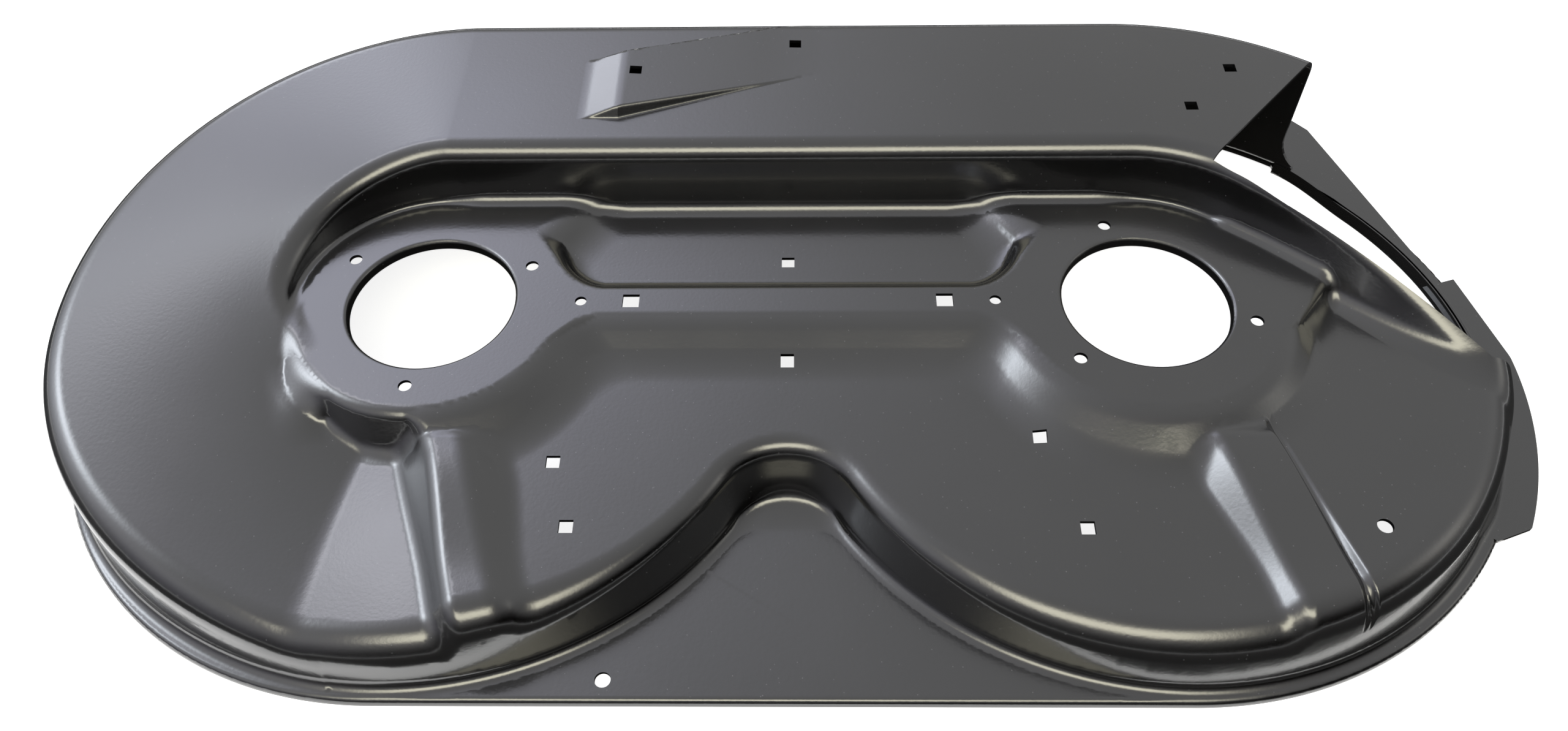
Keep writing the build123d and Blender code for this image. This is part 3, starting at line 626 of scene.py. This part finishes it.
def added_parts():
    """Flat flanges, strap and rolled collars, as closed shells in one mesh."""
    mesh = bmesh.new()
    low, high = FLANGE_LEVEL - SHEET + FLANGE_TUCK, FLANGE_LEVEL - FLANGE_TUCK

    # Flange beside the right wall, clipped to a circle between two of its corners
    outline = []
    corners = [np.array(p) for p in SIDE_FLANGE_CORNERS]
    centre = np.array([HALF, 0])
    for p, q in zip(corners, corners[1:]):
        for share in np.linspace(0, 1, 24, endpoint=False):
            point = p + (q - p) * share
            reach = np.linalg.norm(point - centre)
            outline.append(tuple(centre + (point - centre) * min(1, SIDE_FLANGE_R / reach)))
    outline.append(tuple(corners[-1]))
    inner = np.linspace(turn_of(corners[-1]), turn_of(corners[0]), 40)
    outline += [tuple(centre + SIDE_FLANGE_INNER_R * ray(t)) for t in inner]
    prism(mesh, outline, low, high)

    # Tab outside the strap
    tab = [np.array(p) for p in TAB_CORNERS]
    inner = [strap_point(t, SHEET) for t in strap_turns(120) if t > turn_of(tab[-1])]
    inner += [centre + (TUNNEL_R - SHEET / 2) * ray(t) for t in np.linspace(mouth_turn() + 0.5, 90, 20)]
    outline = [np.array([HALF, RIM_AHEAD + RIM_R]), *tab]
    prism(mesh, [tuple(p) for p in (outline + inner)[::-1]], low, high)

    # Strap across the foot of the mouth
    outline = [strap_point(t, 0) for t in strap_turns(80)]
    outline += [strap_point(t, SHEET) for t in strap_turns(80)[::-1]]
    prism(mesh, [tuple(p) for p in outline], 0, STRAP_LEVEL)

    # Collars: the pad's edge rolled down into each spindle hole
    for x in BOLT_TURNS:
        foot = PAD_LEVEL - SHEET - SPINDLE_COLLAR
        profile = [(SPINDLE_HOLE_R, foot), (SPINDLE_HOLE_R + SHEET, foot)]
        profile.append((SPINDLE_HOLE_R + SHEET, PAD_LEVEL - SHEET - 1))
        profile.append((SPINDLE_HOLE_R + COLLAR_ROLL, PAD_LEVEL - SHEET))
        for k in range(7):
            turn = radians(90 * k / 6)
            reach = SPINDLE_HOLE_R + COLLAR_ROLL * (1 - sin(turn))
            profile.append((reach, PAD_LEVEL - COLLAR_ROLL * (1 - cos(turn))))
        rings = []
        for r, z in profile:
            rings.append([mesh.verts.new((*spot, z)) for spot in circle((x, 0), r, BORE_SIDES)])
        for a, b in zip(rings, rings[1:] + rings[:1]):
            for k in range(BORE_SIDES):
                n = (k + 1) % BORE_SIDES
                mesh.faces.new((a[k], a[n], b[n], b[k]))
    bmesh.ops.recalc_face_normals(mesh, faces=mesh.faces)
    bmesh.ops.triangulate(mesh, faces=mesh.faces)
    out = bpy.data.meshes.new("added")
    mesh.to_mesh(out)
    mesh.free()
    return out


def corner_normals(points, faces, skins):
    """Normals of each triangle's corners: the field's on the skins, the triangle's own elsewhere."""
    a, b, c = (points[faces[:, k]] for k in range(3))
    flat = np.cross(b - a, c - a)
    flat /= np.maximum(np.linalg.norm(flat, axis=1, keepdims=True), 1e-12)
    normals = np.repeat(flat[:, None, :], 3, axis=1)
    value = field(*points[:skins].T)
    slope = gradient(points[:skins])
    upper, lower = np.abs(value) < SKIN_NEAR, np.abs(value + SHEET) < SKIN_NEAR
    mine = np.all(faces < skins, axis=1)
    for skin, sign in ((upper, 1), (lower, -1)):
        marked = np.zeros(len(points), dtype=bool)
        marked[:skins] = skin
        normal = np.zeros_like(points)
        normal[:skins] = sign * slope
        on = mine & np.all(marked[faces], axis=1)
        spread = normal[faces]
        agrees = np.einsum("fi,fki->fk", flat, spread).min(axis=1) > 0.5
        on &= agrees
        normals[on] = spread[on]
    return normals


def deck_mesh():
    points, quads = skin_mesh()
    points, faces = refined(*thinned(points, quads))
    mesh = mesh_from(*thickened(points, faces), "deck_sheet")
    mesh = cut(mesh, hole_cutter(), sill_cutter())
    points, faces = arrays(mesh)
    skins = len(points)
    more, extra = arrays(added_parts())
    points = np.concatenate([points, more])
    faces = np.concatenate([faces, extra + skins])
    ordered = np.sort(faces, axis=1)
    whole = (ordered[:, 0] < ordered[:, 1]) & (ordered[:, 1] < ordered[:, 2])
    single = np.zeros(len(faces), dtype=bool)
    single[np.unique(ordered, axis=0, return_index=True)[1]] = True
    faces = faces[whole & single]
    normals = corner_normals(points, faces, skins)
    points[:, :2] += np.array(SHIFT)
    mesh = bpy.data.meshes.new("deck_skin")
    mesh.from_pydata((points / 1000).tolist(), [], faces.tolist())
    mesh.shade_smooth()
    mesh.normals_split_custom_set(normals.reshape(-1, 3).tolist())
    return mesh


def node(tree, kind, at, **values):
    made = tree.nodes.new(kind)
    made.location = at
    for name, value in values.items():
        setattr(made, name, value)
    return made


def paint():
    """Semi-gloss black paint with a fine orange peel and dust."""
    material = bpy.data.materials.new("black_paint_looks")
    material.use_nodes = True
    tree = material.node_tree
    shader = tree.nodes["Principled BSDF"]
    shader.inputs["IOR"].default_value = 2.0
    shader.inputs["Specular IOR Level"].default_value = 0.5
    shader.inputs["Coat Weight"].default_value = 0.3
    shader.inputs["Coat Roughness"].default_value = 0.07
    shader.inputs["Coat IOR"].default_value = 1.5
    link = tree.links.new
    place = node(tree, "ShaderNodeTexCoord", (-1400, 0))

    clouds = node(tree, "ShaderNodeTexNoise", (-1200, 200))
    clouds.inputs["Scale"].default_value = 9.0
    clouds.inputs["Detail"].default_value = 5.0
    link(place.outputs["Object"], clouds.inputs["Vector"])
    tone = node(tree, "ShaderNodeValToRGB", (-900, 200))
    tone.color_ramp.elements[0].color = (0.004, 0.004, 0.0044, 1)
    tone.color_ramp.elements[0].position = 0.3
    tone.color_ramp.elements[1].color = (0.0075, 0.0073, 0.0075, 1)
    tone.color_ramp.elements[1].position = 0.72
    link(clouds.outputs["Fac"], tone.inputs["Fac"])

    specks = node(tree, "ShaderNodeTexVoronoi", (-1200, -150))
    specks.inputs["Scale"].default_value = 160.0
    link(place.outputs["Object"], specks.inputs["Vector"])
    dots = node(tree, "ShaderNodeMapRange", (-900, -150))
    dots.inputs["From Min"].default_value = 0.0
    dots.inputs["From Max"].default_value = 0.09
    dots.inputs["To Min"].default_value = 0.5
    dots.inputs["To Max"].default_value = 0.0
    link(specks.outputs["Distance"], dots.inputs["Value"])
    dusty = node(tree, "ShaderNodeMix", (-500, 150), data_type="RGBA")
    dusty.inputs["B"].default_value = (0.22, 0.22, 0.23, 1)
    link(dots.outputs["Result"], dusty.inputs["Factor"])
    link(tone.outputs["Color"], dusty.inputs["A"])
    link(dusty.outputs["Result"], shader.inputs["Base Color"])

    gloss = node(tree, "ShaderNodeMapRange", (-500, -150))
    gloss.inputs["From Min"].default_value = 0.3
    gloss.inputs["From Max"].default_value = 0.7
    gloss.inputs["To Min"].default_value = 0.15
    gloss.inputs["To Max"].default_value = 0.22
    link(clouds.outputs["Fac"], gloss.inputs["Value"])
    link(gloss.outputs["Result"], shader.inputs["Roughness"])

    peel = node(tree, "ShaderNodeTexNoise", (-1200, -450))
    peel.inputs["Scale"].default_value = 420.0
    peel.inputs["Detail"].default_value = 2.0
    link(place.outputs["Object"], peel.inputs["Vector"])
    bump = node(tree, "ShaderNodeBump", (-500, -450))
    bump.inputs["Strength"].default_value = 0.05
    bump.inputs["Distance"].default_value = 0.001
    link(peel.outputs["Fac"], bump.inputs["Height"])
    link(bump.outputs["Normal"], shader.inputs["Normal"])
    return material


def floor_material():
    material = bpy.data.materials.new("pale_floor")
    material.use_nodes = True
    tree = material.node_tree
    shader = tree.nodes["Principled BSDF"]
    shader.inputs["Base Color"].default_value = (0.9, 0.9, 0.9, 1)
    shader.inputs["Roughness"].default_value = 0.9
    shader.inputs["Specular IOR Level"].default_value = 0.0
    path = node(tree, "ShaderNodeLightPath", (-500, -200))
    seen = node(tree, "ShaderNodeMath", (-400, -200), operation="ADD", use_clamp=True)
    tree.links.new(path.outputs["Is Camera Ray"], seen.inputs[0])
    tree.links.new(path.outputs["Is Glossy Ray"], seen.inputs[1])
    through = node(tree, "ShaderNodeMath", (-320, -200), operation="ADD", use_clamp=True)
    tree.links.new(seen.outputs[0], through.inputs[0])
    tree.links.new(path.outputs["Is Transmission Ray"], through.inputs[1])
    scale = node(tree, "ShaderNodeMath", (-250, -200), operation="MULTIPLY")
    scale.inputs[1].default_value = FLOOR_GLOW
    tree.links.new(through.outputs[0], scale.inputs[0])
    shader.inputs["Emission Color"].default_value = (1, 1, 1, 1)
    tree.links.new(scale.outputs[0], shader.inputs["Emission Strength"])
    return material


def world_lobe(tree, place, toward, power):
    """Soft round glow about a direction."""
    spread = node(tree, "ShaderNodeVectorMath", (-1200, 300), operation="DOT_PRODUCT")
    spread.inputs[1].default_value = np.array(toward) / np.linalg.norm(toward)
    tree.links.new(place, spread.inputs[0])
    ahead = node(tree, "ShaderNodeMath", (-1000, 300), operation="MAXIMUM")
    ahead.inputs[1].default_value = 0.0
    tree.links.new(spread.outputs["Value"], ahead.inputs[0])
    lobe = node(tree, "ShaderNodeMath", (-800, 300), operation="POWER")
    lobe.inputs[1].default_value = power
    tree.links.new(ahead.outputs[0], lobe.inputs[0])
    return lobe.outputs[0]


def world_field(tree, place, sides):
    """Part of the surroundings with soft edges, inside each of its sides."""
    total = None
    for toward, start, stop in sides:
        spread = node(tree, "ShaderNodeVectorMath", (-1200, -300), operation="DOT_PRODUCT")
        spread.inputs[1].default_value = toward
        tree.links.new(place, spread.inputs[0])
        edge = node(tree, "ShaderNodeMapRange", (-1000, -300), interpolation_type="SMOOTHSTEP")
        edge.inputs["From Min"].default_value = start
        edge.inputs["From Max"].default_value = stop
        tree.links.new(spread.outputs["Value"], edge.inputs["Value"])
        if total is None:
            total = edge.outputs["Result"]
            continue
        both = node(tree, "ShaderNodeMath", (-800, -300), operation="MULTIPLY")
        tree.links.new(total, both.inputs[0])
        tree.links.new(edge.outputs["Result"], both.inputs[1])
        total = both.outputs[0]
    return total


def studio_world():
    """Pale studio with soft bluish glows at the left, dark behind the camera and plain white to it."""
    world = bpy.data.worlds.new("studio")
    world.use_nodes = True
    tree = world.node_tree
    place = node(tree, "ShaderNodeTexCoord", (-1600, 0)).outputs["Generated"]
    light = node(tree, "ShaderNodeCombineXYZ", (-600, 0))
    for socket in light.inputs:
        socket.default_value = PALE
    total = light.outputs["Vector"]
    parts = [(world_field(tree, place, sides), colour) for sides, colour in FIELDS]
    parts += [(world_lobe(tree, place, toward, power), colour) for toward, power, colour in GLOWS]
    for amount, colour in parts:
        added = node(tree, "ShaderNodeVectorMath", (-400, 0), operation="MULTIPLY_ADD")
        added.inputs[0].default_value = colour
        tree.links.new(amount, added.inputs[1])
        tree.links.new(total, added.inputs[2])
        total = added.outputs["Vector"]
    path = node(tree, "ShaderNodeLightPath", (-200, 300))
    shown = node(tree, "ShaderNodeMix", (0, 100), data_type="RGBA")
    shown.inputs["B"].default_value = (1, 1, 1, 1)
    tree.links.new(path.outputs["Is Camera Ray"], shown.inputs["Factor"])
    tree.links.new(total, shown.inputs["A"])
    sky = tree.nodes["Background"]
    tree.links.new(shown.outputs["Result"], sky.inputs["Color"])
    return world


def dark_card():
    """Dark studio card on the floor round and under the deck, seen only in its gloss."""
    mesh = bmesh.new()
    count = 64
    near = []
    for k in range(count):
        gap = CARD_GAP * smooth(CARD_FADE_AT - CARD_FADE * cos(2 * pi * k / count))
        near.append(stadium_point(RIM_R + CARD_NEAR + gap, k / count))
    far = [stadium_point(CARD_GAP + RIM_R + CARD_WIDTH, k / count) for k in range(count)]
    inner = [mesh.verts.new((x / 1000, y / 1000, CARD_LEVEL)) for x, y in near]
    outer = [mesh.verts.new((x / 1000, y / 1000, CARD_LEVEL)) for x, y in far]
    for k in range(count):
        n = (k + 1) % count
        mesh.faces.new((inner[k], outer[k], outer[n], inner[n]))
    under = [stadium_point(RIM_R - CARD_INSET, k / count) for k in range(count)]
    mesh.faces.new([mesh.verts.new((x / 1000, y / 1000, CARD_LEVEL)) for x, y in under])
    out = bpy.data.meshes.new("dark_card")
    mesh.to_mesh(out)
    mesh.free()
    card = new_object("dark_card", out)
    material = bpy.data.materials.new("card_black")
    material.use_nodes = True
    material.node_tree.nodes["Principled BSDF"].inputs["Base Color"].default_value = (0.02, 0.02, 0.02, 1)
    material.node_tree.nodes["Principled BSDF"].inputs["Roughness"].default_value = 0.9
    out.materials.append(material)
    card.visible_camera = card.visible_diffuse = card.visible_shadow = False
    card.visible_transmission = card.visible_volume_scatter = False


def stadium_point(radius, share):
    turn = 360 * share
    centre = HALF if -90 < (turn + 180) % 360 - 180 < 90 else -HALF
    spot = np.array([centre, 0]) + radius * ray(turn)
    return spot + np.array(SHIFT)


deck = new_object("deck_skin", deck_mesh())
deck.data.materials.append(paint())
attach(deck, "root")
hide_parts("deck_shell")

corners = [(-FLOOR_HALF, -FLOOR_HALF, 0), (FLOOR_HALF, -FLOOR_HALF, 0), (FLOOR_HALF, FLOOR_HALF, 0),
           (-FLOOR_HALF, FLOOR_HALF, 0)]
floor = new_object("floor", mesh_from(corners, [(0, 1, 2, 3)], "floor"))
floor.data.materials.append(floor_material())

bpy.context.scene.world = studio_world()
dark_card()

eye = bpy.data.cameras.new("camera")
eye.sensor_fit, eye.sensor_width, eye.lens = "HORIZONTAL", 36, LENS
eye.shift_y = (CENTRE_Y - PICTURE[1] / 2) / PICTURE[0]
eye.clip_start = 0.01
camera = new_object("camera", eye)
pose = np.eye(4)
pose[:3, 0], pose[:3, 1] = CAMERA_RIGHT, -np.array(CAMERA_DOWN)
pose[:3, 2], pose[:3, 3] = -np.array(CAMERA_AHEAD), CAMERA_AT
camera.matrix_world = Matrix(pose.tolist())
bpy.context.scene.camera = camera
bpy.context.scene.view_settings.view_transform = "Standard"
